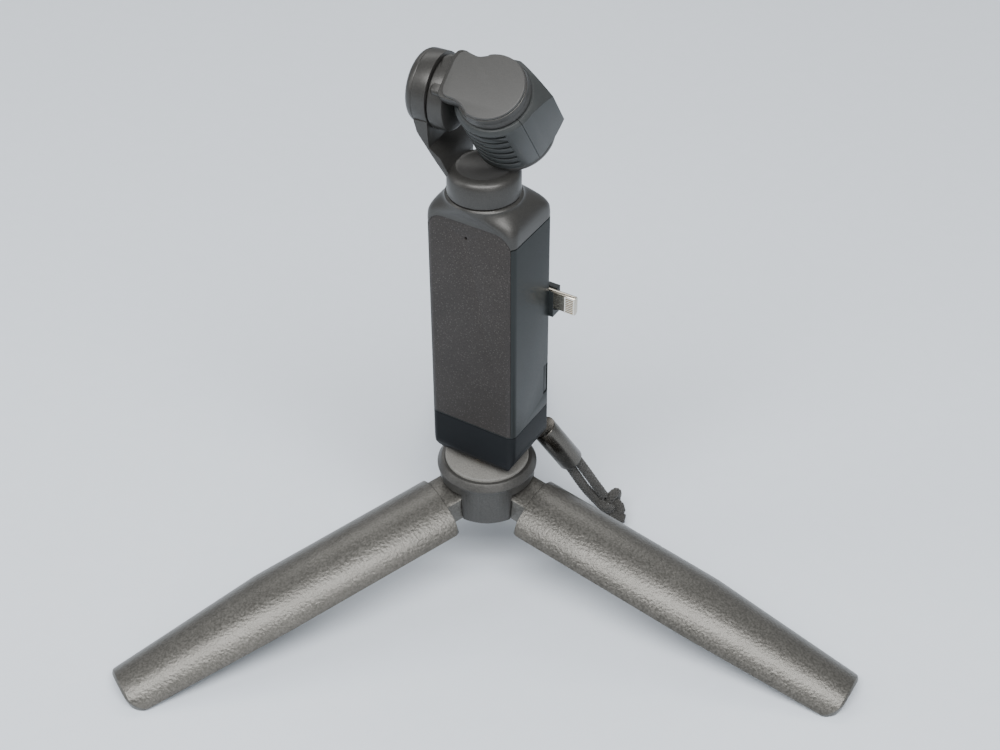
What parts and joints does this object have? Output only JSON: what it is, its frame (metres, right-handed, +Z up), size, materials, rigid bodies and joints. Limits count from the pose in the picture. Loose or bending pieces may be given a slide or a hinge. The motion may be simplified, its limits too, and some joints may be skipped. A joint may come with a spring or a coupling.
{
  "type": "action camera",
  "caption": "Pocket gimbal camera with a box handle and a three-axis camera head, screwed to a folding mini tripod with a braided wrist strap.",
  "frame": {"origin": "Floor point under the centre of the tripod hub, where the hub axis meets the plane of the three feet", "axes": "+Z up along the hub axis and the gimbal's pan axis, -Y towards the side that two of the legs open to, the third leg along +Y"},
  "size_m": [0.2316, 0.2024, 0.1878],
  "materials": {
    "hub_metal": "metallic grey powder coat",
    "leg_metal": "sparkling warm-grey powder coat",
    "steel": "ground steel",
    "barrel_metal": "polished gunmetal",
    "brass_metal": "turned brass",
    "seat_rubber": "speckled light grey",
    "pad_rubber": "soft black rubber",
    "base_plastic": "fine matt blue-black",
    "frame_plastic": "smooth slate grey",
    "shoulder_coat": "matt warm dark grey",
    "panel_coat": "fine speckled brown-grey",
    "head_coat": "matt blue-grey",
    "screen_glass": "glossy black",
    "lens_glass": "coated clear glass",
    "black_plastic": "matt black",
    "copper": "wound copper on steel",
    "board": "solder resist",
    "cell_film": "printed film",
    "gold_contact": "gold plated",
    "plug_metal": "nickel plated",
    "cord_fibre": "braided dark olive-grey"
  },
  "bodies": {
    "root": {"hub_body": "hub_metal", "seat_disc": "seat_rubber", "tripod_screw": "steel", "hub_cap": "black_plastic", "hinge_pin_left": "steel", "hinge_pin_right": "steel", "hinge_pin_rear": "steel", "base_mount": "base_plastic", "thread_insert": "brass_metal", "strap_anchor": "steel", "strap_barrel": "barrel_metal", "strap_cord_upper": "cord_fibre", "strap_cord_lower": "cord_fibre", "strap_knot": "cord_fibre", "handle_frame": "frame_plastic", "top_shoulder": "shoulder_coat", "front_panel": "panel_coat", "rear_panel": "black_plastic", "screen_glass": "screen_glass", "display_module": "black_plastic", "battery": "cell_film", "main_board": "board", "board_shields": "steel", "usb_port": "steel", "microphones": "gold_contact", "housing_screws": "steel", "adapter_shell": "frame_plastic", "adapter_plug": "plug_metal", "adapter_contacts": "gold_contact", "pan_stator": "copper", "pan_bearing": "steel"},
    "tripod_leg_left": {"leg_left": "leg_metal", "foot_left": "pad_rubber"},
    "tripod_leg_right": {"leg_right": "leg_metal", "foot_right": "pad_rubber"},
    "tripod_leg_rear": {"leg_rear": "leg_metal", "foot_rear": "pad_rubber"},
    "power_key": {"power_button": "frame_plastic"},
    "shutter_key": {"shutter_button": "black_plastic"},
    "mode_key": {"mode_button": "black_plastic"},
    "pan": {"pan_arm": "shoulder_coat", "pan_rotor": "steel", "roll_stator": "copper", "roll_bearing": "steel", "roll_cap": "shoulder_coat"},
    "roll": {"tilt_arm": "shoulder_coat", "roll_rotor": "steel", "tilt_stator": "copper", "tilt_bearing": "steel", "arm_cover": "shoulder_coat"},
    "tilt": {"head_rear_shell": "head_coat", "head_front_shell": "head_coat", "head_side_cover": "shoulder_coat", "tilt_rotor": "steel", "lens_ring": "black_plastic", "lens_glass": "lens_glass", "lens_barrel": "black_plastic", "sensor_board": "board"}
  },
  "joints": [
    {"name": "leg_left_fold", "type": "hinge", "parent": "root", "child": "tripod_leg_left", "pos_m": [-0.00866, -0.005, 0.03], "axis": [0.5, -0.866, 0], "range_deg": [0, 77.5]},
    {"name": "leg_right_fold", "type": "hinge", "parent": "root", "child": "tripod_leg_right", "pos_m": [0.00866, -0.005, 0.03], "axis": [0.5, 0.866, 0], "range_deg": [0, 77.5]},
    {"name": "leg_rear_fold", "type": "hinge", "parent": "root", "child": "tripod_leg_rear", "pos_m": [0, 0.01, 0.03], "axis": [-1, 0, 0], "range_deg": [0, 77.5]},
    {"name": "pan_turn", "type": "hinge", "parent": "root", "child": "pan", "pos_m": [0, 0, 0.15], "axis": [0, 0, 1], "range_deg": [-184, 156]},
    {"name": "roll_turn", "type": "hinge", "parent": "pan", "child": "roll", "pos_m": [0, 0, 0.1727], "axis": [-0.8988, 0.4384, 0], "range_deg": [-146, 34]},
    {"name": "tilt_turn", "type": "hinge", "parent": "roll", "child": "tilt", "pos_m": [0.00494, -0.00241, 0.1727], "axis": [-0.2451, -0.5026, 0.829], "range_deg": [-161, 29]},
    {"name": "power_press", "type": "slide", "parent": "root", "child": "power_key", "axis": [-0.8625, 0.506, 0], "range_m": [0, 0.0004], "stiffness_N_per_m": 400},
    {"name": "shutter_press", "type": "slide", "parent": "root", "child": "shutter_key", "axis": [-0.506, -0.8625, 0], "range_m": [0, 0.0005], "stiffness_N_per_m": 400},
    {"name": "mode_press", "type": "slide", "parent": "root", "child": "mode_key", "axis": [-0.506, -0.8625, 0], "range_m": [0, 0.0005], "stiffness_N_per_m": 400}
  ]
}
